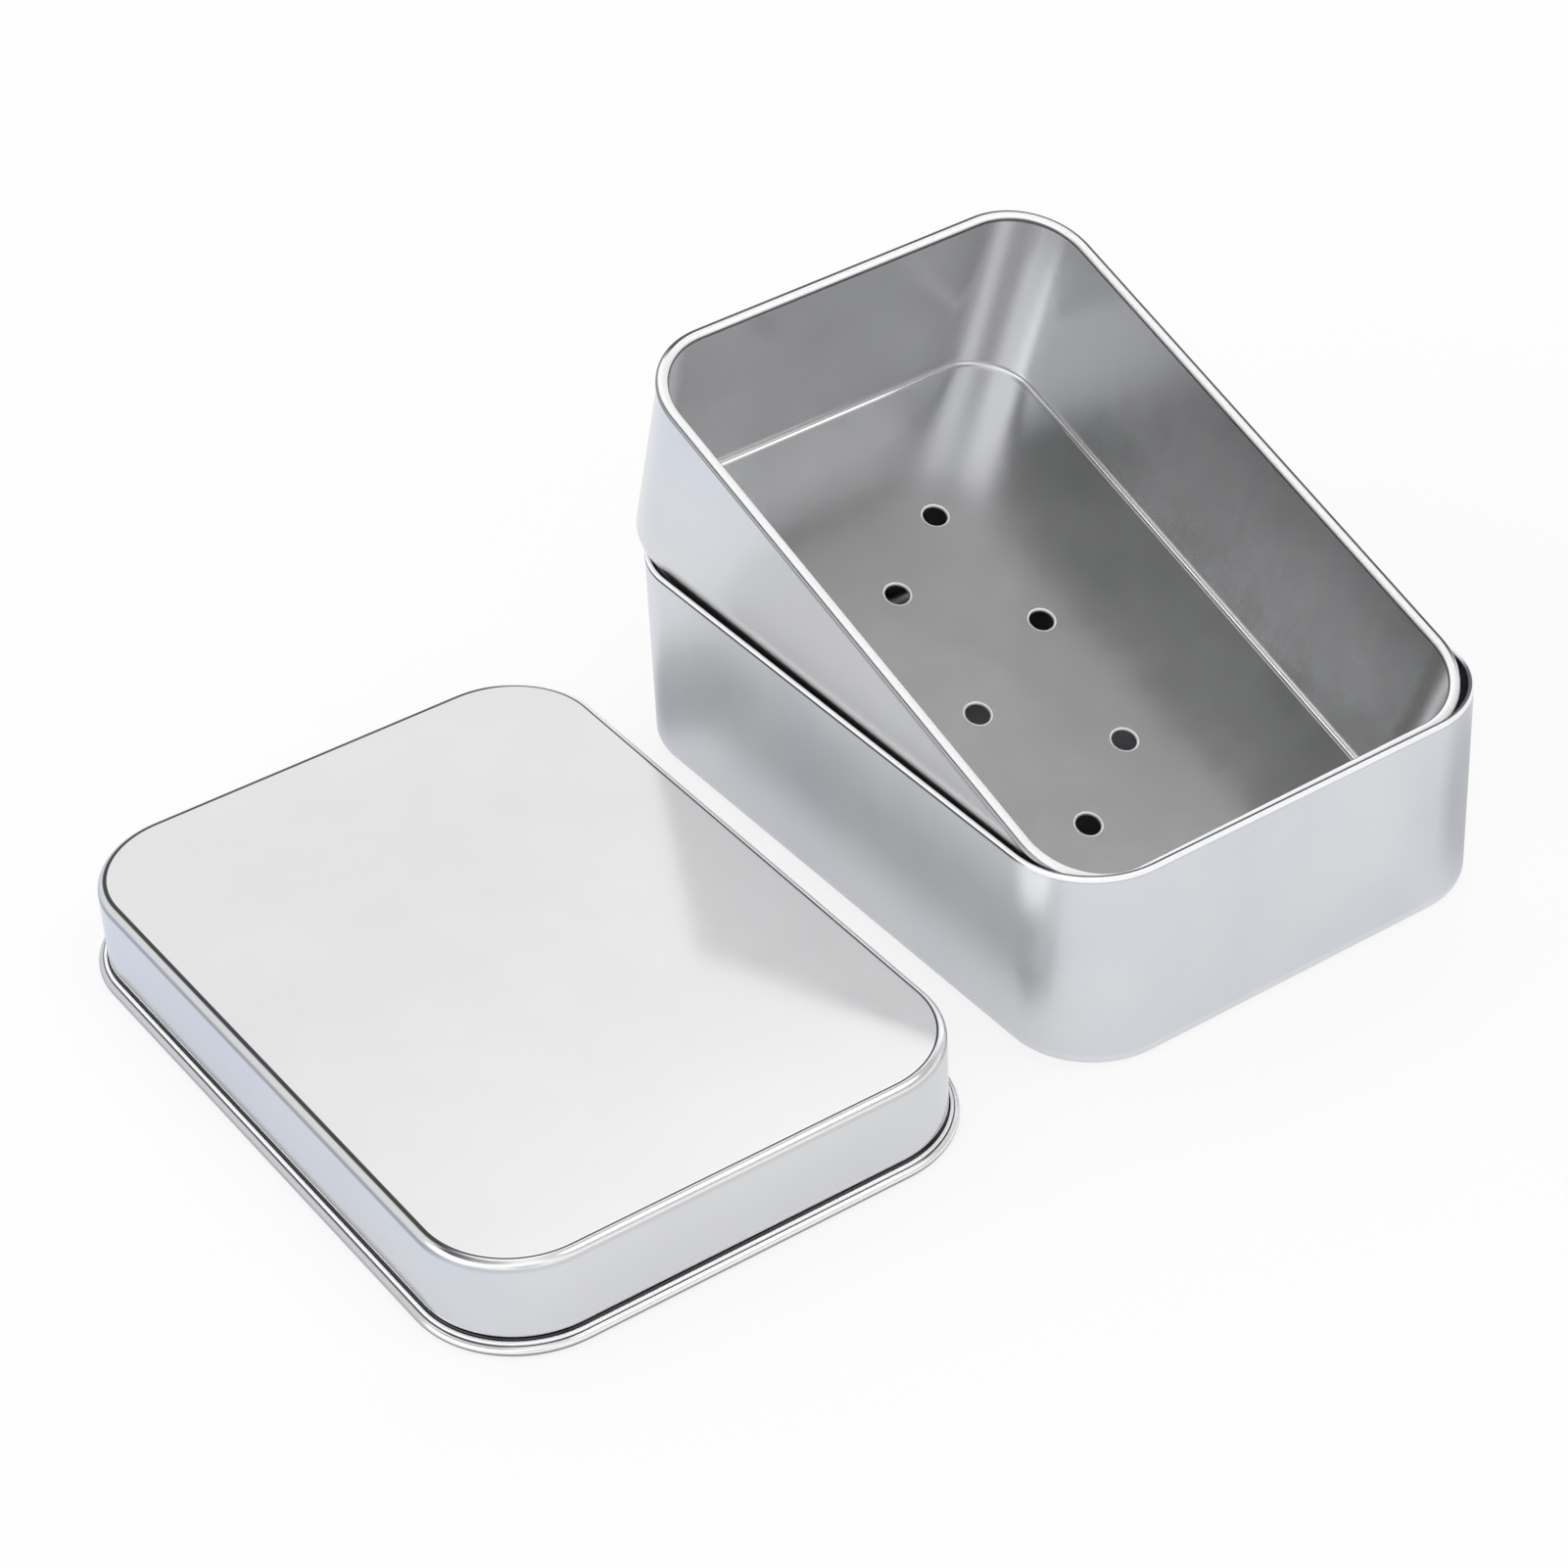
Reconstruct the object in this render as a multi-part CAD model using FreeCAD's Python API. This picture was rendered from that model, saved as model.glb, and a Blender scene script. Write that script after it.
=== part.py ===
import FreeCAD, Part
import math
import os

# Travel soap box of thin drawn metal: a base, a drain tray that leans in its mouth, and a lid
# that lies beside it. Millimetres and degrees, +Z up. The origin is the middle of the base's
# underside, X runs along the base and Y across it.

# Sheet that all three pieces are drawn from
sheet = 0.6

# Base
base_length = 105.6
base_width = 74.3
base_height = 31.5
base_corner_radius = 13.1
base_edge_radius = 2.0
base_rim_diameter = 0.8

# Drain tray
tray_height = 31.2
tray_rim_gap = 0.2
tray_rim_reach = 0.3
tray_rim_across = 1.8
tray_rim_thickness = 1.2
tray_wall_draft = 1.2
tray_edge_radius = 1.4

# Drain holes: two rows that are moved along the tray in opposite ways. The holes between the
# ends of a row lie further out than the end ones.
hole_diameter = 3.6
hole_bevel = 0.25
hole_pitch = 22.6
hole_row_spacing = 13.4
hole_row_shift = 4.6
hole_stagger = 2.4
holes_per_row = 3

# Lid
lid_height = 14.1
lid_slip_gap = 0.5
lid_edge_radius = 2.0
lid_bead_reach = 1.4
lid_bead_thickness = 1.7

# How the loose pieces lie
lean_front_gap = 0.9
lean_seat_gap = 0.25
tray_turn_degrees = 0.6
lid_stand_off = 10.3
lid_set_back = 2.8
lid_turn_degrees = -0.6

# Extra length of a cutting tool beyond the face that it passes
overrun = 1.0

# Points tried along each back corner of the base's rim, and halvings of the angle, to find how
# the tray lies on it
rim_line_steps = 48
angle_halvings = 60

UP = FreeCAD.Vector(0, 0, 1)
ORIGIN = FreeCAD.Vector(0, 0, 0)

# Sizes of the middle line of the base's rim, which is rolled inwards from the wall's outer face
rim_length = base_length - base_rim_diameter
rim_width = base_width - base_rim_diameter
rim_corner_radius = base_corner_radius - base_rim_diameter / 2
rim_height = base_height - base_rim_diameter / 2

# Mouth of the base, inside its rim, and the outline of the tray's rim that drops into it
mouth_length = rim_length - base_rim_diameter
mouth_width = rim_width - base_rim_diameter
mouth_corner_radius = rim_corner_radius - base_rim_diameter / 2
tray_length = mouth_length - 2 * tray_rim_gap
tray_width = mouth_width - 2 * tray_rim_gap
tray_corner_radius = mouth_corner_radius - tray_rim_gap
tray_rim_middle = tray_height - tray_rim_thickness / 2

# Lid, which slips over the base
lid_length = base_length + 2 * (lid_slip_gap + sheet)
lid_width = base_width + 2 * (lid_slip_gap + sheet)
lid_corner_radius = base_corner_radius + lid_slip_gap + sheet


def outline(length, width, radius, height):
    """Rounded rectangle, level, with its middle on the Z axis."""
    half_x = length / 2 - radius
    half_y = width / 2 - radius
    edges = []
    for quarter in range(4):
        start = math.radians(90 * quarter)
        side_x = half_x if quarter in (0, 3) else -half_x
        side_y = half_y if quarter in (0, 1) else -half_y
        points = []
        for turn in (0, math.pi / 4, math.pi / 2):
            x = side_x + radius * math.cos(start + turn)
            y = side_y + radius * math.sin(start + turn)
            points.append(FreeCAD.Vector(x, y, height))
        edges.append(Part.Arc(*points).toShape())
    joined = []
    for quarter in range(4):
        joined.append(edges[quarter])
        here = edges[quarter].Vertexes[-1].Point
        there = edges[(quarter + 1) % 4].Vertexes[0].Point
        joined.append(Part.LineSegment(here, there).toShape())
    return Part.Wire(joined)


def block(length, width, corner_radius, height, draft, edge_radius):
    """Solid pan shape standing on z = 0: its wall leans in by the draft towards the floor."""
    top = outline(length, width, corner_radius, height)
    bottom = outline(length - 2 * draft, width - 2 * draft, corner_radius - draft, 0)
    solid = Part.makeLoft([bottom, top], True, True)
    floor_edges = [edge for edge in solid.Edges if edge.BoundBox.ZMax < edge_radius / 2]
    return solid.makeFillet(edge_radius, floor_edges)


def pan(length, width, corner_radius, height, draft, edge_radius):
    """Open pan of sheet: the block less the same block one sheet further in."""
    outside = block(length, width, corner_radius, height, draft, edge_radius)
    inside = block(length - 2 * sheet, width - 2 * sheet, corner_radius - sheet, height,
                   draft, edge_radius - sheet)
    inside.translate(UP * sheet)
    return outside.cut(inside)


def rolled_edge(length, width, corner_radius, middle_height, across, thickness):
    """Rolled rim: a level ring whose outer edge is the given outline.

    Its section is round, or two half circles with flats between them where it is wider than
    it is thick."""
    path = outline(length - thickness, width - thickness, corner_radius - thickness / 2, middle_height)
    start = path.Edges[0].Vertexes[0].Point
    flat = across - thickness
    if flat <= 0:
        section = Part.Wire([Part.Circle(start, FreeCAD.Vector(0, 1, 0), thickness / 2).toShape()])
    else:
        half = FreeCAD.Vector(0, 0, thickness / 2)
        inner = start - FreeCAD.Vector(flat, 0, 0)
        outer_arc = Part.Arc(start + half, start + FreeCAD.Vector(thickness / 2, 0, 0), start - half)
        inner_arc = Part.Arc(inner - half, inner - FreeCAD.Vector(thickness / 2, 0, 0), inner + half)
        section = Part.Wire([
            outer_arc.toShape(),
            Part.LineSegment(start - half, inner - half).toShape(),
            inner_arc.toShape(),
            Part.LineSegment(inner + half, start + half).toShape(),
        ])
    return path.makePipeShell([section], True, False)


def base():
    """Base box with a small round bead along its rim, level with the wall outside."""
    shell = pan(base_length, base_width, base_corner_radius, rim_height, 0, base_edge_radius)
    bead = rolled_edge(base_length, base_width, base_corner_radius, rim_height,
                       base_rim_diameter, base_rim_diameter)
    return shell.fuse(bead).removeSplitter()


def drain_hole(x, y):
    """Cutter for one hole through the tray's floor, with a bevel at its upper edge."""
    radius = hole_diameter / 2
    bore = Part.makeCylinder(radius, sheet + 2 * overrun, FreeCAD.Vector(x, y, -overrun), UP)
    bevel = Part.makeCone(radius, radius + hole_bevel + overrun, hole_bevel + overrun,
                          FreeCAD.Vector(x, y, sheet - hole_bevel), UP)
    return bore.fuse(bevel)


def hole_places():
    """Middles of the drain holes on the tray's floor."""
    places = []
    for side in (-1, 1):
        for number in range(holes_per_row):
            x = (number - (holes_per_row - 1) / 2) * hole_pitch - side * hole_row_shift
            y = hole_row_spacing / 2
            if 0 < number < holes_per_row - 1:
                y += hole_stagger
            places.append((x, side * y))
    return places


def level_tray():
    """Drain tray standing level, its floor on z = 0."""
    wall_length = tray_length - 2 * tray_rim_reach
    wall_width = tray_width - 2 * tray_rim_reach
    wall_corner_radius = tray_corner_radius - tray_rim_reach
    tray = pan(wall_length, wall_width, wall_corner_radius, tray_rim_middle,
               tray_wall_draft, tray_edge_radius)
    rim = rolled_edge(tray_length, tray_width, tray_corner_radius, tray_rim_middle,
                      tray_rim_across, tray_rim_thickness)
    tray = tray.fuse(rim).removeSplitter()
    for x, y in hole_places():
        tray = tray.cut(drain_hole(x, y))
    return tray


def underside_core():
    """Where the tray's underside starts to round up, as (along, across) from its middle."""
    inset = tray_rim_reach + tray_wall_draft + tray_edge_radius
    return tray_length / 2 - inset, tray_width / 2 - inset


def rim_line():
    """Points on the middle line of the base's rim at its two back corners.

    They are turned about the front of the mouth, against the tray's turn, so that the tray can
    be taken as lying straight."""
    turn = math.radians(tray_turn_degrees)
    front = mouth_length / 2
    points = []
    for side in (-1, 1):
        for step in range(rim_line_steps + 1):
            angle = math.pi / 2 * step / rim_line_steps
            x = rim_corner_radius * (1 - math.cos(angle)) - rim_length / 2 - front
            y = side * (rim_width / 2 - rim_corner_radius * (1 - math.sin(angle)))
            points.append((front + x * math.cos(turn) + y * math.sin(turn),
                           y * math.cos(turn) - x * math.sin(turn)))
    return points


def lean():
    """Angle of the tray and the place of its front lower rounding, as (radians, x, z).

    The rounding stands on the base's floor, the tray's underside lies on the rim at its two
    back corners, and the front of the tray's rim keeps its gap inside the front of the mouth."""
    core_x, core_y = underside_core()
    rim_x = tray_length / 2 - tray_rim_thickness / 2 - core_x
    rim_z = tray_rim_middle - tray_edge_radius
    stand_z = sheet + lean_seat_gap + tray_edge_radius
    front_x = mouth_length / 2 - lean_front_gap - tray_rim_thickness / 2
    apart = tray_edge_radius + base_rim_diameter / 2 + lean_seat_gap

    def stand_x(angle):
        return front_x - rim_x * math.cos(angle) - rim_z * math.sin(angle)

    def clearance(angle):
        distances = []
        for x, y in rim_line():
            over = (stand_x(angle) - x) * math.sin(angle) + (stand_z - rim_height) * math.cos(angle)
            beside = max(abs(y) - core_y, 0)
            distances.append(math.hypot(over, beside) if over > 0 else beside + over)
        return min(distances) - apart

    low, high = 0, math.pi / 3
    for halving in range(angle_halvings):
        middle = (low + high) / 2
        if clearance(middle) > 0:
            high = middle
        else:
            low = middle
    return high, stand_x(high), stand_z


def leaning_tray():
    """Drain tray raised at the back and turned a little, as it lies across the base's mouth."""
    angle, stand_x, stand_z = lean()
    tray = level_tray()
    tray.translate(FreeCAD.Vector(-underside_core()[0], 0, -tray_edge_radius))
    tray.rotate(ORIGIN, FreeCAD.Vector(0, 1, 0), math.degrees(angle))
    tray.translate(FreeCAD.Vector(stand_x, 0, stand_z))
    tray.rotate(FreeCAD.Vector(mouth_length / 2, 0, 0), UP, tray_turn_degrees)
    return tray


def lid():
    """Lid with its panel up and its beaded edge on the ground, beside the base."""
    skirt = pan(lid_length, lid_width, lid_corner_radius, lid_height - lid_bead_thickness / 2,
                0, lid_edge_radius)
    skirt.rotate(ORIGIN, FreeCAD.Vector(1, 0, 0), 180)
    skirt.translate(UP * lid_height)
    bead = rolled_edge(lid_length + 2 * lid_bead_reach, lid_width + 2 * lid_bead_reach,
                       lid_corner_radius + lid_bead_reach, lid_bead_thickness / 2,
                       lid_bead_reach + sheet, lid_bead_thickness)
    cover = skirt.fuse(bead).removeSplitter()
    cover.rotate(ORIGIN, UP, lid_turn_degrees)
    across = base_width / 2 + lid_width / 2 + lid_bead_reach + lid_stand_off
    cover.translate(FreeCAD.Vector(-lid_set_back, -across, 0))
    return cover


os.makedirs("parts", exist_ok=True)
for node, shape in (("base", base()), ("drain_tray", leaning_tray()), ("lid", lid())):
    shape.exportStep("parts/" + node + ".step")
    print(node, shape.ShapeType, len(shape.Solids), "valid", shape.isValid(),
          "volume", round(shape.Volume, 2), "box", shape.BoundBox)
print("the tray leans by", round(math.degrees(lean()[0]), 2), "degrees")
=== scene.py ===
import bmesh
import bpy
import math
from mathutils import Matrix, Vector
from mathutils.geometry import delaunay_2d_cdt


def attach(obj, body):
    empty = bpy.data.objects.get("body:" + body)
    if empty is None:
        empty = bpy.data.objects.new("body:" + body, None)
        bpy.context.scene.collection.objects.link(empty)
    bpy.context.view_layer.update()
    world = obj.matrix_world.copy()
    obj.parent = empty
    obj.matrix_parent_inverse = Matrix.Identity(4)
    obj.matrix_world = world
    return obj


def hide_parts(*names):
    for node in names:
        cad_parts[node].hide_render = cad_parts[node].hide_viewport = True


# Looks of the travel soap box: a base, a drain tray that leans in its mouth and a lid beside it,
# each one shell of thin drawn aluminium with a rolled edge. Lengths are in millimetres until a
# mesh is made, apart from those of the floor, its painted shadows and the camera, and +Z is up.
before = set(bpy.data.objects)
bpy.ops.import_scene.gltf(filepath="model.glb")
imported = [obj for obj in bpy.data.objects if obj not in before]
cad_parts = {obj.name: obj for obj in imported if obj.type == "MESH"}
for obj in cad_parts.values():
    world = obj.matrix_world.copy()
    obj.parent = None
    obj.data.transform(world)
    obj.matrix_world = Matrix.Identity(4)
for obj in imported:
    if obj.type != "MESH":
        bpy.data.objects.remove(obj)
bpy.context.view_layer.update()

MM = 0.001

# Painted light and shade on the meshes' points: pale as a painted highlight, dark as painted shade along
# creases and edges
painted_highlight = 1.0
painted_shade = -1.0

# Sheet of all three pieces
sheet = 0.6

# Base: plan of its outer wall as (length, width, corner radius)
base_plan = (105.6, 74.3, 13.1)
base_height = 31.5
base_edge_radius = 2.0
base_bead_radius = 0.4
# The base's inner floor is darkened as painted shade, seen through the drain holes
base_floor_painted_shade = painted_shade * 0.5

# Drain tray: plan of its rim's outer edge, and its level shape before it leans
tray_plan = (103.6, 72.3, 12.1)
tray_height = 31.2
tray_rim_reach = 0.3
tray_rim_across = 1.8
tray_rim_radius = 0.6
tray_wall_draft = 1.2
tray_edge_radius = 1.4
# The tray's underside and the lower rims of its holes are darkened as painted shade
tray_underside_painted_shade = painted_shade * 0.55

# How the tray lies: its lean, the place of its front lower rounding, and its turn about the
# front of the base's mouth
tray_lean_degrees = 20.037713
tray_stand_x = 38.334178
tray_stand_z = 2.25
tray_turn_degrees = 0.6
mouth_front = 52.0

# Drain holes: their radius, the rounding of their upper edge, and the radii within which the
# two faces of the tray's floor end
hole_radius = 1.8
hole_bevel = 0.25
hole_upper_reach = hole_radius + hole_bevel + 0.1
hole_lower_reach = hole_radius + 0.15
hole_places = ((-18.0, -6.7), (4.6, -9.1), (27.2, -6.7), (-27.2, 6.7), (-4.6, 9.1), (18.0, 6.7))

# Lid: plan of its outer wall, and the circles of its ridge, its bead and the inner side of its
# lower edge as (outset, height, radius)
lid_plan = (107.8, 76.5, 14.2)
lid_height = 14.1
lid_edge_radius = 1.3
lid_ridge = (0.28, 1.42, 0.34)
lid_bead = (0.72, 0.675, 0.675)
lid_inner_edge = (-0.1, 0.5, 0.5)
lid_middle = (-2.8, -87.1)
lid_turn_degrees = -0.6

# Soft lights and dark boards round the pieces: the way to each, the cosines between which it
# fades in, and how bright it is beside a white of 1
studio_boards = (
    ((-0.31, 0.44, 0.84), 0.90, 0.975, 1.5),
    ((0.35, 0.60, 0.72), 0.75, 0.87, 0.40),
    ((-0.12, 0.45, 0.89), 0.955, 0.985, 0.36),
    ((0.35, 0.44, 0.83), 0.955, 0.985, 2.6),
    ((0.50, -0.42, 0.76), 0.87, 0.98, 1.25),
    ((0.83, -0.40, 0.39), 0.955, 0.985, 0.50),
    ((-0.10, -0.90, 0.42), 0.86, 0.95, 2.2),
    ((-0.12, -0.45, 0.89), 0.905, 0.96, 0.14),
)
studio_level = 1.08

# Painted shadows on the floor that only the metal mirrors, soft dark spots beside the pieces: the middle,
# the distances over which each fades out, and its colour
painted_floor_shadows = (
    ((0.05, 0.055, 0.0), 0.012, 0.03, (0.24, 0.26, 0.32, 1)),
    ((-0.056, -0.047, 0.0), 0.006, 0.017, (0.02, 0.03, 0.08, 1)),
)
floor_half_side = 4.0
floor_drop = 0.05 * MM

# Ways that sides of the plans face, along which the painted highlights and painted shade change: the
# short side at the front, the back and the right one, and the back and the left one
front_side = (1.0, 0.0)
back_sides = (-0.79, 0.61)
left_sides = (-0.7, -0.7)

# Fineness of the meshes: steps round each corner of a plan, along each side and round a hole, the
# narrow margins of flat faces, the squares of the pierced floor, and the rows of a plain panel
corner_steps = 24
side_steps = 10
hole_steps = 40
flat_margin = 0.3
floor_grid = 5.0
hole_margin = 1.0
panel_rows = (0.04, 0.12, 0.25, 0.4, 0.55, 0.7, 0.85, 1.0)


class Value:
    """Output of a shader node. Python's operators on it add the Math nodes."""

    def __init__(self, recipe, socket):
        self.recipe = recipe
        self.socket = socket

    def __add__(self, other):
        return self.recipe.maths("ADD", self, other)

    __radd__ = __add__

    def __sub__(self, other):
        return self.recipe.maths("SUBTRACT", self, other)

    def __rsub__(self, other):
        return self.recipe.maths("SUBTRACT", other, self)

    def __mul__(self, other):
        return self.recipe.maths("MULTIPLY", self, other)

    __rmul__ = __mul__


class Recipe:
    """Node tree of one material or of the world, written out as calls."""

    def __init__(self, owner):
        owner.use_nodes = True
        self.tree = owner.node_tree
        self.tree.nodes.clear()

    def node(self, kind, settings=None, inputs=None, output=0):
        """Adds a node, its settings first, and returns the output that is asked for."""
        made = self.tree.nodes.new(kind)
        for name, setting in (settings or {}).items():
            setattr(made, name, setting)
        by_identifier = {socket.identifier: socket for socket in made.inputs}
        for name, value in (inputs or {}).items():
            socket = by_identifier.get(name) or made.inputs[name]
            if isinstance(value, Value):
                self.tree.links.new(value.socket, socket)
            else:
                socket.default_value = value
        return Value(self, made.outputs[output]) if made.outputs else None

    def maths(self, operation, first, second):
        """Math node on two numbers or values."""
        return self.node("ShaderNodeMath", {"operation": operation}, {0: first, 1: second})

    def vectors(self, operation, first, second, output=0):
        """Vector Math node on two vectors."""
        return self.node("ShaderNodeVectorMath", {"operation": operation}, {0: first, 1: second}, output)

    def ramp(self, value, low, high, start=0.0, end=1.0):
        """Smooth change from start to end while the value goes from low to high."""
        return self.node("ShaderNodeMapRange", {"interpolation_type": "SMOOTHSTEP"}, {
            "Value": value, "From Min": low, "From Max": high, "To Min": start, "To Max": end})

    def mix(self, factor, first, second):
        """Colour between two colours."""
        return self.node("ShaderNodeMix", {"data_type": "RGBA"}, {
            "Factor_Float": factor, "A_Color": first, "B_Color": second}, 2)

    def toward(self, direction, aim):
        """Share of a direction or a place that lies along an aim."""
        return self.vectors("DOT_PRODUCT", direction, tuple(Vector(aim).normalized()), "Value")

    def clouds(self, place, size, detail, stretch=(1.0, 1.0, 1.0)):
        """Noise between 0 and 1 whose patches are about that many millimetres across."""
        scale = tuple(1 / (MM * size * along) for along in stretch)
        return self.node("ShaderNodeTexNoise", None, {
            "Vector": self.vectors("MULTIPLY", place, scale), "Scale": 1.0, "Detail": detail}, "Fac")


def drawn_aluminium(name, dull, bright, roughness):
    """Thin aluminium as the press leaves it, with faint lines along the draw and cloudy patches.

    The points' painted light and shade turns it pale and less like a mirror as a painted highlight, or
    dark as painted shade."""
    material = bpy.data.materials.new(name)
    recipe = Recipe(material)
    place = recipe.node("ShaderNodeAttribute", {"attribute_name": "own_place"}, output="Vector")
    painted_light_shade = recipe.node("ShaderNodeAttribute", {"attribute_name": "painted_light_shade"}, output="Fac")
    painted_highlight_share = recipe.maths("MAXIMUM", painted_light_shade, 0.0)
    painted_shade_share = recipe.maths("MAXIMUM", painted_light_shade * -1.0, 0.0)
    patches = recipe.ramp(recipe.clouds(place, 26.0, 2.0), 0.3, 0.7)
    blotches = recipe.clouds(place, 5.0, 3.0)
    draw_lines = recipe.clouds(place, 0.5, 2.0, (1.0, 1.0, 30.0))
    grain = recipe.clouds(place, 0.35, 2.0)
    waves = recipe.clouds(place, 34.0, 1.0)
    colour = recipe.mix(patches * 0.6 + blotches * 0.4, dull, bright)
    # Painted highlight: pale colour, lower Metallic and more roughness where the points are painted pale
    colour = recipe.mix(painted_highlight_share, colour, (0.97, 0.972, 0.98, 1))
    # Painted shade: near-black colour where the points are painted dark
    colour = recipe.mix(painted_shade_share * 0.95, colour, (0.02, 0.022, 0.03, 1))
    gloss = roughness + (patches - 0.5) * 0.03 + (blotches - 0.5) * 0.05 + (draw_lines - 0.5) * 0.05
    surface = waves * 0.05 + draw_lines * 0.0005 + grain * 0.0003
    bump = recipe.node("ShaderNodeBump", None, {
        "Strength": 1.0, "Distance": MM, "Height": surface}, "Normal")
    metal = recipe.node("ShaderNodeBsdfPrincipled", None, {
        "Base Color": colour, "Metallic": 1.0 - painted_highlight_share * 0.7, "Roughness": gloss + painted_highlight_share * 0.15,
        "Normal": bump})
    recipe.node("ShaderNodeOutputMaterial", None, {"Surface": metal})
    return material


def arc(circle, start, stop, steps, painted_light_shade=0.0, flatten=1.0):
    """Profile points on a circle of (outset, height, radius) between two angles.

    The angles are in degrees, from outward (0) to up (90)."""
    outset, height, radius = circle
    points = []
    for step in range(steps + 1):
        angle = math.radians(start + (stop - start) * step / steps)
        rise = radius * flatten * math.sin(angle)
        points.append((outset + radius * math.cos(angle), height + rise, painted_light_shade))
    return points


def plan_cores(plan):
    """Middles of the four corner arcs of a rounded rectangle, in order round it."""
    length, width, radius = plan
    half_x = length / 2 - radius
    half_y = width / 2 - radius
    return (half_x, half_y), (-half_x, half_y), (-half_x, -half_y), (half_x, -half_y)


def plan_points(plan, outset):
    """Points round a rounded rectangle that lies outside the plan by the outset."""
    cores = plan_cores(plan)
    radius = plan[2] + outset
    points = []
    for corner, (core_x, core_y) in enumerate(cores):
        for step in range(corner_steps + 1):
            angle = math.radians(90 * (corner + step / corner_steps))
            points.append(Vector((core_x + radius * math.cos(angle), core_y + radius * math.sin(angle))))
        last = points[-1].copy()
        run = Vector(cores[(corner + 1) % 4]) - Vector((core_x, core_y))
        for step in range(1, side_steps):
            points.append(last + run * step / side_steps)
    return points


def facing(plan, place, aim):
    """How much the outline of a plan faces an aim at a place on it, from 0 to 1."""
    core_x, core_y = plan_cores(plan)[0]
    core = Vector((max(-core_x, min(core_x, place.x)), max(-core_y, min(core_y, place.y))))
    share = (place - core).normalized().dot(Vector(aim).normalized())
    share = max(0.0, min(1.0, share / 0.5))
    return share * share * (3 - 2 * share)


def hole_points(middle, radius):
    """Points round a drain hole."""
    hole_x, hole_y = middle
    turns = [math.tau * step / hole_steps for step in range(hole_steps)]
    return [Vector((hole_x + radius * math.cos(turn), hole_y + radius * math.sin(turn))) for turn in turns]


def clear_of_holes(place, radius):
    """Whether a place on the tray's floor lies further than the radius from every drain hole."""
    return all((place - Vector(middle)).length > radius for middle in hole_places)


class Shell:
    """Closed sheet-metal mesh that is built up from loops of points."""

    def __init__(self, plan):
        self.plan = plan
        self.mesh = bmesh.new()
        self.painted_light_shade = self.mesh.verts.layers.float.new("painted_light_shade")
        self.own_place = self.mesh.verts.layers.float_vector.new("own_place")

    def point(self, place, height, painted_light_shade):
        """Point over a place of the plan. It keeps where it is before the piece is moved."""
        vertex = self.mesh.verts.new((place.x * MM, place.y * MM, height * MM))
        vertex[self.painted_light_shade] = painted_light_shade
        vertex[self.own_place] = vertex.co
        return vertex

    def bridge(self, first, second):
        """Faces between two loops of as many points."""
        for here in range(len(first)):
            ahead = (here + 1) % len(first)
            self.mesh.faces.new((first[here], first[ahead], second[ahead], second[here]))

    def sweep(self, profile):
        """Faces along a profile of (outset, height, painted light and shade) that is carried round the
        plan.

        A painted light and shade of three holds the plain level, another one and the way that the sides
        face where the other one counts."""
        before = None
        for outset, height, painted_light_shade in profile:
            plain, there, aim = painted_light_shade if isinstance(painted_light_shade, tuple) else (painted_light_shade, painted_light_shade, front_side)
            loop = []
            for place in plan_points(self.plan, outset):
                painted_level = plain + (there - plain) * facing(self.plan, place, aim)
                loop.append(self.point(place, height, painted_level))
            if before:
                self.bridge(before, loop)
            before = loop

    def flat(self, outset, height, painted_light_shade=0.0):
        """Panel inside a loop of the plan. Its rows close in on its middle line."""
        reach = (self.plan[0] - self.plan[1]) / 2
        rim = plan_points(self.plan, outset)
        before = [self.point(place, height, painted_light_shade) for place in rim]
        for share in panel_rows:
            loop = []
            for place in rim:
                middle = Vector((max(-reach, min(reach, place.x)), 0))
                loop.append(self.point(place.lerp(middle, share), height, painted_light_shade))
            self.bridge(before, loop)
            before = loop

    def pierced_flat(self, outset, height, radius, painted_light_shade=0.0):
        """Panel inside a loop of the plan with a round opening at each drain hole."""
        places = list(plan_points(self.plan, outset))
        edges = [(here, (here + 1) % len(places)) for here in range(len(places))]
        for middle in hole_places:
            first = len(places)
            places += hole_points(middle, radius)
            edges += [(first + step, first + (step + 1) % hole_steps) for step in range(hole_steps)]
        core_x, core_y = plan_cores(self.plan)[0]
        columns = int(core_x / floor_grid)
        lines = int(core_y / floor_grid)
        for column in range(-columns, columns + 1):
            for line in range(-lines, lines + 1):
                place = Vector((column * floor_grid, line * floor_grid))
                if clear_of_holes(place, radius + hole_margin):
                    places.append(place)
        spots, _, faces, _, _, _ = delaunay_2d_cdt(places, edges, [], 0, 1e-7)
        vertices = [self.point(spot, height, painted_light_shade) for spot in spots]
        for face in faces:
            middle = sum((spots[corner] for corner in face), Vector((0, 0))) / len(face)
            if clear_of_holes(middle, radius):
                self.mesh.faces.new([vertices[corner] for corner in face])

    def bores(self, profile):
        """Walls of the drain holes, from a profile of (radius, height, painted light and shade)."""
        for middle in hole_places:
            before = None
            for radius, height, painted_light_shade in profile:
                loop = [self.point(place, height, painted_light_shade) for place in hole_points(middle, radius)]
                if before:
                    self.bridge(before, loop)
                before = loop

    def make(self, name, material, place):
        """Joins the loops into one closed skin, moves it to its place and makes the object."""
        bmesh.ops.remove_doubles(self.mesh, verts=self.mesh.verts, dist=1e-7)
        bmesh.ops.dissolve_degenerate(self.mesh, edges=self.mesh.edges, dist=1e-8)
        bmesh.ops.recalc_face_normals(self.mesh, faces=self.mesh.faces)
        self.mesh.transform(place)
        data = bpy.data.meshes.new(name)
        self.mesh.to_mesh(data)
        self.mesh.free()
        data.shade_smooth()
        data.materials.append(material)
        piece = bpy.data.objects.new(name, data)
        bpy.context.scene.collection.objects.link(piece)
        return piece


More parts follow.
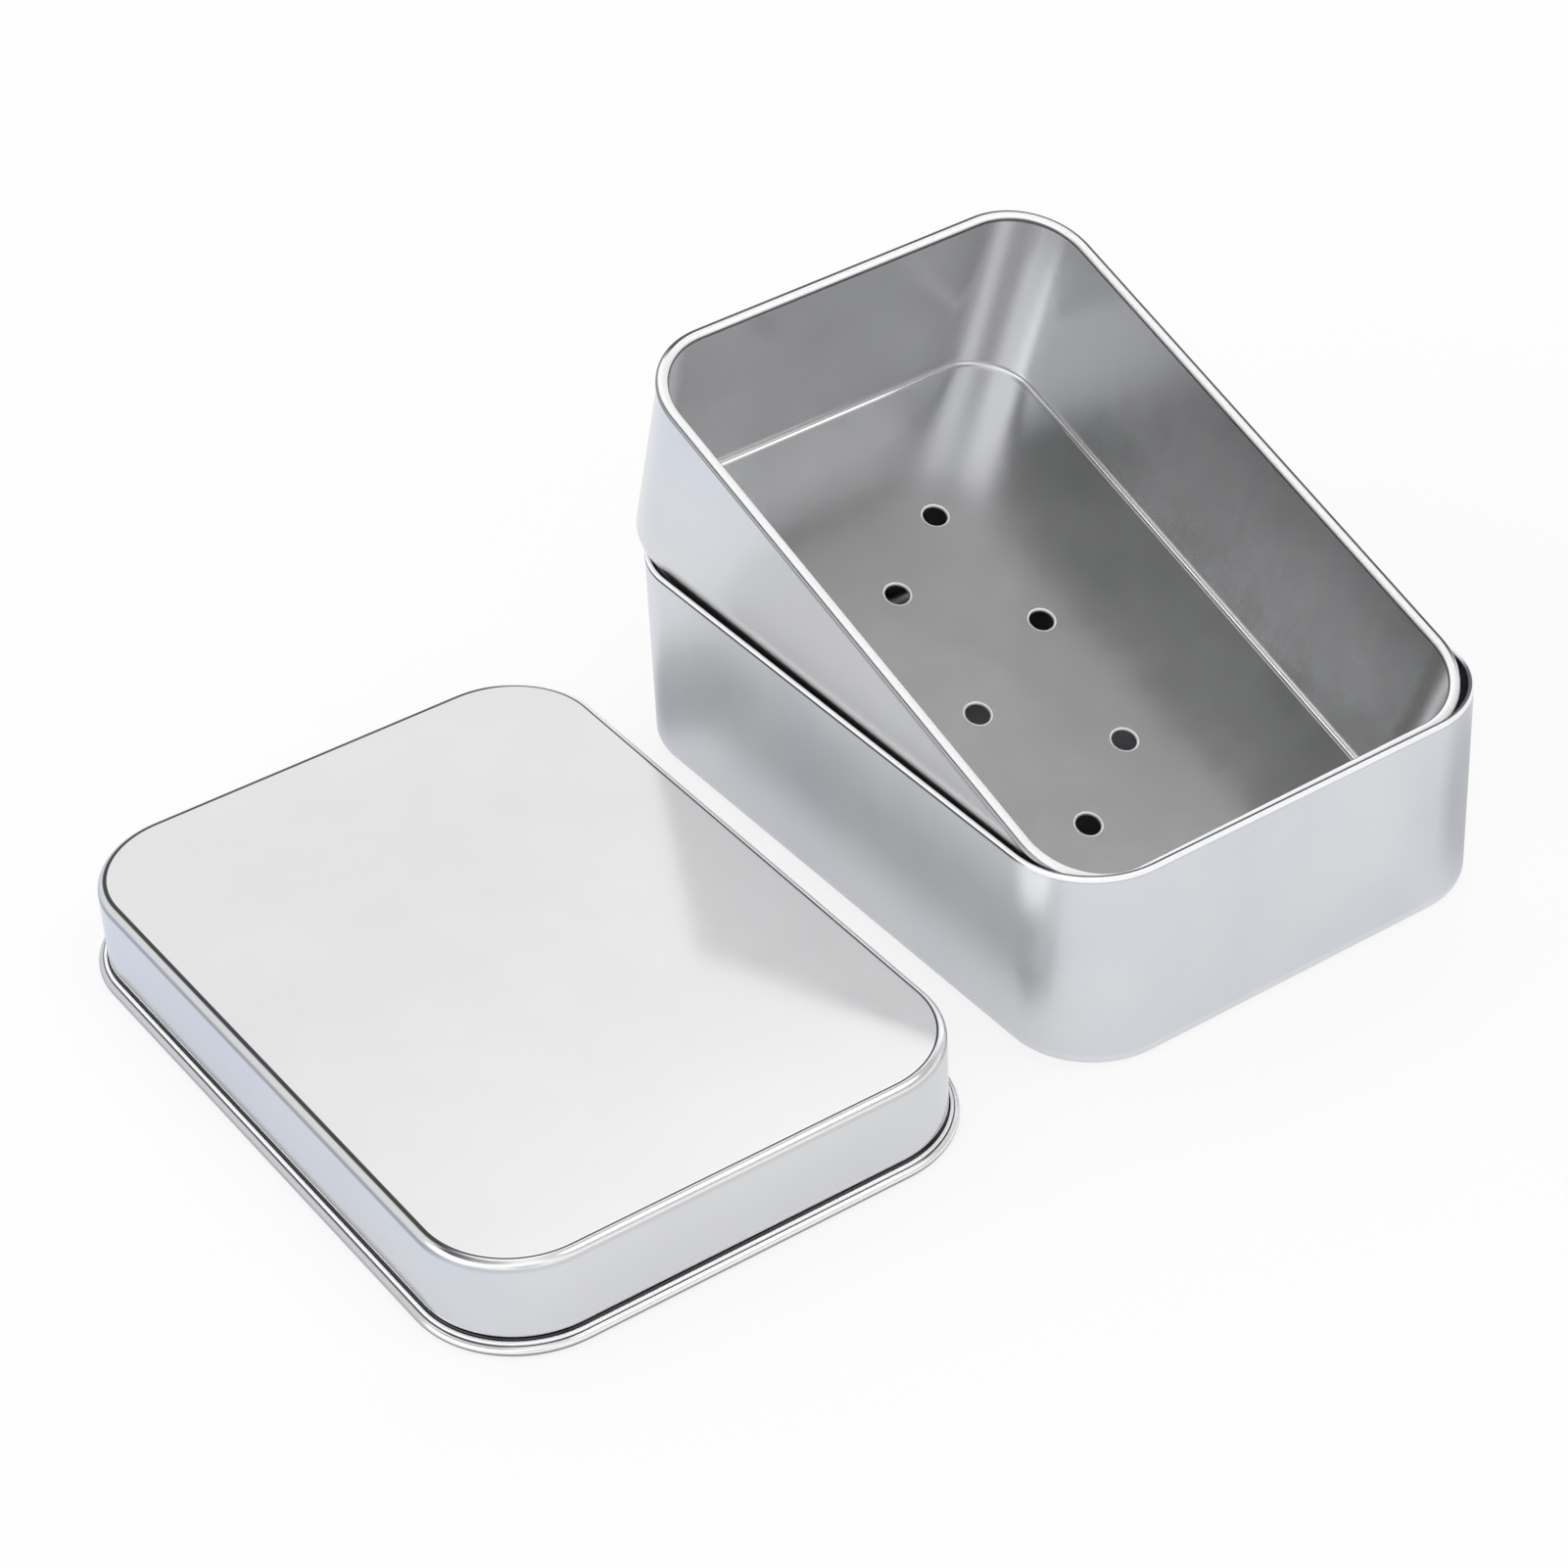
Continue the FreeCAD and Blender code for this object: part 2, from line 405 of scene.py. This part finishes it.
def base_box():
    """Base: flat floor, straight wall and a small round bead along the mouth.

    The bead is painted pale as a painted highlight, with a thin dark line of painted shade outside, which
    lies inside at the front. The foot's rounding is painted faintly pale as a highlight."""
    shell = Shell(base_plan)
    floor_start = -base_edge_radius - flat_margin
    wall_start = base_edge_radius + flat_margin
    wall_middle = 16.0
    bead = (-base_bead_radius, base_height - base_bead_radius, base_bead_radius)
    inner_edge = (-base_edge_radius, base_edge_radius, base_edge_radius - sheet)
    outer_edge = (-base_edge_radius, base_edge_radius, base_edge_radius)
    profile = [(floor_start, sheet, base_floor_painted_shade)]
    profile += arc(inner_edge, -90, 0, 8)
    profile += [(-sheet, wall_start, 0.0), (-sheet, wall_middle, 0.0), (-sheet, 30.6, 0.0)]
    # Painted shade under the bead, then a painted highlight on top between thin dark lines of painted
    # shade
    profile += arc(bead, 240, 180, 8, painted_shade * 0.6)
    profile += arc(bead, 168, 74, 12, (painted_highlight, painted_shade * 0.9, front_side))
    profile += arc(bead, 64, 38, 4, painted_highlight)
    profile += arc(bead, 24, 0, 4, (painted_shade * 0.9, painted_highlight, front_side))
    profile += [(0.0, 30.98, (painted_shade * 0.9, painted_highlight, front_side))]
    profile += [(0.0, 30.84, (painted_highlight * 0.15, painted_highlight * 0.9, front_side))]
    profile += [(0.0, 30.66, (0.0, painted_shade * 0.3, front_side)), (0.0, 30.5, 0.0), (0.0, 30.0, 0.0)]
    profile += [(0.0, wall_middle, 0.0), (0.0, wall_start, 0.0)]
    profile += arc(outer_edge, 0, -90, 12, painted_highlight * 0.2)
    profile += [(floor_start, 0.0, 0.0)]
    shell.sweep(profile)
    shell.flat(floor_start, sheet, base_floor_painted_shade)
    shell.flat(floor_start, 0.0)
    return shell.make("base_box", base_aluminium, Matrix.Identity(4))


def tray_wall(height, inset):
    """Outset of the tray's wall at a height, further in by the inset."""
    return -tray_rim_reach - tray_wall_draft * (1 - height / (tray_height - tray_rim_radius)) - inset


def tray_place():
    """Turns and moves the level tray to where it leans in the base's mouth."""
    core_x = tray_plan[0] / 2 - tray_rim_reach - tray_wall_draft - tray_edge_radius
    level = Matrix.Translation(Vector((-core_x, 0, -tray_edge_radius)) * MM)
    lean = Matrix.Rotation(math.radians(tray_lean_degrees), 4, "Y")
    stand = Matrix.Translation(Vector((tray_stand_x, 0, tray_stand_z)) * MM)
    front = Matrix.Translation(Vector((mouth_front, 0, 0)) * MM)
    turn = Matrix.Rotation(math.radians(tray_turn_degrees), 4, "Z")
    return front @ turn @ front.inverted() @ stand @ lean @ level


def drain_tray():
    """Drain tray: pierced floor, slightly drawn-in wall and a broad rolled rim.

    The rim is painted pale as a painted highlight between thin dark lines of painted shade. The outer one
    is broader at the back and right."""
    shell = Shell(tray_plan)
    rim_half = tray_rim_across / 2
    rim = (-rim_half, tray_height - tray_rim_radius, rim_half)
    flatten = tray_rim_radius / rim_half
    inner_radius = tray_edge_radius - sheet
    inner_foot = tray_wall(inner_radius, sheet) - inner_radius
    outer_foot = tray_wall(tray_edge_radius, 0) - tray_edge_radius
    profile = [(inner_foot - flat_margin, sheet, 0.0)]
    profile += arc((inner_foot, sheet + inner_radius, inner_radius), -90, 0, 8)
    profile += [(tray_wall(height - sheet, sheet), height, 0.0) for height in (1.8, 15.6, 29.4)]
    profile += [(tray_wall(29.2, sheet), 29.8, painted_shade * 0.6)]
    profile += arc(rim, 262, 196, 6, painted_shade, flatten)
    profile += arc(rim, 184, 150, 4, painted_shade * 0.8, flatten)
    profile += arc(rim, 138, 84, 7, painted_highlight, flatten)
    profile += arc(rim, 73, 54, 3, (painted_highlight, painted_shade, back_sides), flatten)
    profile += arc(rim, 42, 20, 3, (painted_shade * 0.7, painted_shade, back_sides), flatten)
    profile += arc(rim, 0, -46, 6, painted_shade * 0.4, flatten)
    profile += [(tray_wall(height, 0), height, 0.0) for height in (29.9, 29.5, 15.0, 1.8)]
    # The foot's rounding is painted faintly pale as a highlight
    profile += arc((outer_foot, tray_edge_radius, tray_edge_radius), 0, -90, 10, painted_highlight * 0.2)
    profile += [(outer_foot - flat_margin, 0.0, tray_underside_painted_shade)]
    shell.sweep(profile)
    shell.pierced_flat(inner_foot - flat_margin, sheet, hole_upper_reach)
    shell.pierced_flat(outer_foot - flat_margin, 0.0, hole_lower_reach, tray_underside_painted_shade)
    bore = [(hole_upper_reach, sheet, 0.0)]
    # The hole's rounded upper edge is painted pale as a painted highlight
    bore += arc((hole_radius + hole_bevel, sheet - hole_bevel, hole_bevel), 90, 180, 5, painted_highlight)
    bore += [(hole_radius, 0.06, 0.0), (hole_radius + 0.05, 0.0, tray_underside_painted_shade)]
    bore += [(hole_lower_reach, 0.0, tray_underside_painted_shade)]
    shell.bores(bore)
    return shell.make("leaning_drain_tray", tray_aluminium, tray_place())


def lid_cover():
    """Lid: flat panel, rounded edge, short wall, and a small ridge above the rolled bead.

    A dark line of painted shade runs round the panel and in the creases beside the ridge, and the edge's
    upper part is painted dark as shade on the left sides. The ridge, the front of the bead and the edge's
    upper part on the other sides are painted pale as highlights."""
    shell = Shell(lid_plan)
    panel_start = -lid_edge_radius - flat_margin
    edge_height = lid_height - lid_edge_radius
    wall_end = edge_height - flat_margin
    edge = (-lid_edge_radius, edge_height, lid_edge_radius)
    profile = [(panel_start, lid_height, 0.0), (-1.42, lid_height, 0.0)]
    # Painted shade: a thin dark line round the panel
    profile += [(-1.32, lid_height - 0.01, painted_shade), (-1.15, lid_height - 0.03, painted_shade)]
    profile += arc(edge, 78, 71, 3, (painted_highlight * 0.5, painted_shade, left_sides))
    profile += arc(edge, 63, 30, 6, (painted_highlight * 0.5, painted_shade * 0.15, left_sides))
    profile += arc(edge, 20, 6, 3, (painted_shade * 0.5, painted_shade * 0.15, front_side))
    profile += [(0.0, wall_end, 0.0), (0.0, 7.0, 0.0), (0.0, 2.5, 0.0), (0.0, 2.25, painted_shade * 0.5)]
    profile += [(-0.18, 2.05, painted_shade), (-0.18, 1.75, painted_shade)]
    profile += arc(lid_ridge, 140, 118, 3, painted_shade * 0.9)
    profile += arc(lid_ridge, 104, 10, 7, painted_highlight)
    profile += [(0.5, 1.3, painted_shade)]
    profile += arc(lid_bead, 100, 90, 2, painted_shade * 0.9)
    profile += arc(lid_bead, 78, 12, 6, (painted_shade * 0.25, painted_highlight * 0.7, front_side))
    profile += arc(lid_bead, 2, -90, 10, painted_shade * 0.6)
    profile += [(0.3, 0.0, 0.0)]
    profile += arc(lid_inner_edge, -90, -180, 6, painted_highlight * 0.4)
    profile += [(-sheet, 0.9, 0.0), (-sheet, 7.0, 0.0), (-sheet, wall_end, 0.0)]
    profile += arc((-lid_edge_radius, edge_height, lid_edge_radius - sheet), 0, 90, 8)
    profile += [(panel_start, lid_height - sheet, 0.0)]
    shell.sweep(profile)
    shell.flat(panel_start, lid_height)
    shell.flat(panel_start, lid_height - sheet)
    turn = Matrix.Rotation(math.radians(lid_turn_degrees), 4, "Z")
    place = Matrix.Translation(Vector((*lid_middle, 0)) * MM) @ turn
    return shell.make("lid_cover", lid_aluminium, place)


def photo_camera():
    """Camera at the photograph's viewing angle."""
    azimuth = math.radians(56.4038)
    elevation = math.radians(36.7606)
    roll = math.radians(-2.9463)
    back = Vector((math.sin(azimuth) * math.cos(elevation), -math.cos(azimuth) * math.cos(elevation),
                   math.sin(elevation)))
    level = Vector((math.cos(azimuth), math.sin(azimuth), 0))
    upright = back.cross(level)
    right = math.cos(roll) * level + math.sin(roll) * upright
    up = math.cos(roll) * upright - math.sin(roll) * level
    data = bpy.data.cameras.new("photo_camera")
    data.sensor_width = 36.0
    data.lens = 102.497
    camera = bpy.data.objects.new("photo_camera", data)
    camera.matrix_world = Matrix.Translation((0.397209, -0.308573, 0.379128)) @ Matrix((
        (right.x, up.x, back.x, 0), (right.y, up.y, back.y, 0), (right.z, up.z, back.z, 0), (0, 0, 0, 1)))
    bpy.context.scene.collection.objects.link(camera)
    bpy.context.scene.camera = camera


def pale_floor():
    """Seamless white floor that keeps the soft shadows of the pieces.

    The metal mirrors it as slightly blue, with painted shade that is darker and bluer to the left and
    painted shadows as soft dark spots."""
    material = bpy.data.materials.new("white_studio_floor")
    recipe = Recipe(material)
    camera, glossy, through = (recipe.node("ShaderNodeLightPath", output=name)
                               for name in ("Is Camera Ray", "Is Glossy Ray", "Is Transmission Ray"))
    place = recipe.node("ShaderNodeNewGeometry", output="Position")
    # As the metal sees it, the floor is painted slightly blue, and darker blue to the left as painted
    # shade
    leftward_painted_shade = recipe.ramp(recipe.toward(place, (-0.4, -0.92, 0)), 0.075, 0.135)
    floor_colour_and_painted_shade = recipe.mix(leftward_painted_shade, (0.945, 0.96, 1.0, 1), (0.69, 0.785, 1.0, 1))
    # Painted shadows: soft dark spots that the metal mirrors
    for middle, inner, outer, shadow_colour in painted_floor_shadows:
        away = recipe.vectors("DISTANCE", place, middle, "Value")
        floor_colour_and_painted_shade = recipe.mix(recipe.ramp(away, inner, outer, 1.0, 0.0), floor_colour_and_painted_shade, shadow_colour)
    floor_colour_and_painted_shade = recipe.mix(glossy, (0.96, 0.96, 0.96, 1), floor_colour_and_painted_shade)
    lit = recipe.node("ShaderNodeBsdfDiffuse", None, {"Color": floor_colour_and_painted_shade})
    glow = recipe.node("ShaderNodeEmission", None, {"Color": (1, 1, 1, 1), "Strength": 1.0})
    share = camera * 0.8 + glossy * 0.5 + through * 0.8
    both = recipe.node("ShaderNodeMixShader", None, {0: share, 1: lit, 2: glow})
    recipe.node("ShaderNodeOutputMaterial", None, {"Surface": both})
    mesh = bmesh.new()
    bmesh.ops.create_grid(mesh, x_segments=8, y_segments=8, size=floor_half_side)
    data = bpy.data.meshes.new("studio_floor")
    mesh.to_mesh(data)
    mesh.free()
    data.materials.append(material)
    floor = bpy.data.objects.new("studio_floor", data)
    floor.location.z = -floor_drop
    bpy.context.scene.collection.objects.link(floor)


def pale_surroundings():
    """White world for the camera, with the studio's lights and boards for the metal."""
    world = bpy.data.worlds.new("white_studio")
    bpy.context.scene.world = world
    recipe = Recipe(world)
    direction = recipe.node("ShaderNodeTexCoord", output="Generated")
    camera = recipe.node("ShaderNodeLightPath", output="Is Camera Ray")
    colour = (studio_level, studio_level, studio_level, 1)
    for aim, edge, full, level in studio_boards:
        board = recipe.ramp(recipe.toward(direction, aim), edge, full)
        colour = recipe.mix(board, colour, (level, level, level, 1))
    colour = recipe.mix(camera, colour, (1, 1, 1, 1))
    background = recipe.node("ShaderNodeBackground", None, {"Color": colour, "Strength": 1.0})
    recipe.node("ShaderNodeOutputWorld", None, {"Surface": background})


bpy.context.scene.view_settings.view_transform = "Standard"
photo_camera()
pale_floor()
pale_surroundings()

base_aluminium = drawn_aluminium("base_aluminium", (0.655, 0.672, 0.715, 1), (0.74, 0.742, 0.75, 1), 0.31)
tray_aluminium = drawn_aluminium("tray_aluminium", (0.69, 0.693, 0.70, 1), (0.73, 0.733, 0.74, 1), 0.23)
lid_aluminium = drawn_aluminium("lid_aluminium", (0.70, 0.70, 0.704, 1), (0.73, 0.73, 0.733, 1), 0.13)

base_piece = base_box()
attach(base_piece, "base")
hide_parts("base")

tray_piece = drain_tray()
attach(tray_piece, "drain_tray")
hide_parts("drain_tray")

lid_piece = lid_cover()
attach(lid_piece, "lid")
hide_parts("lid")
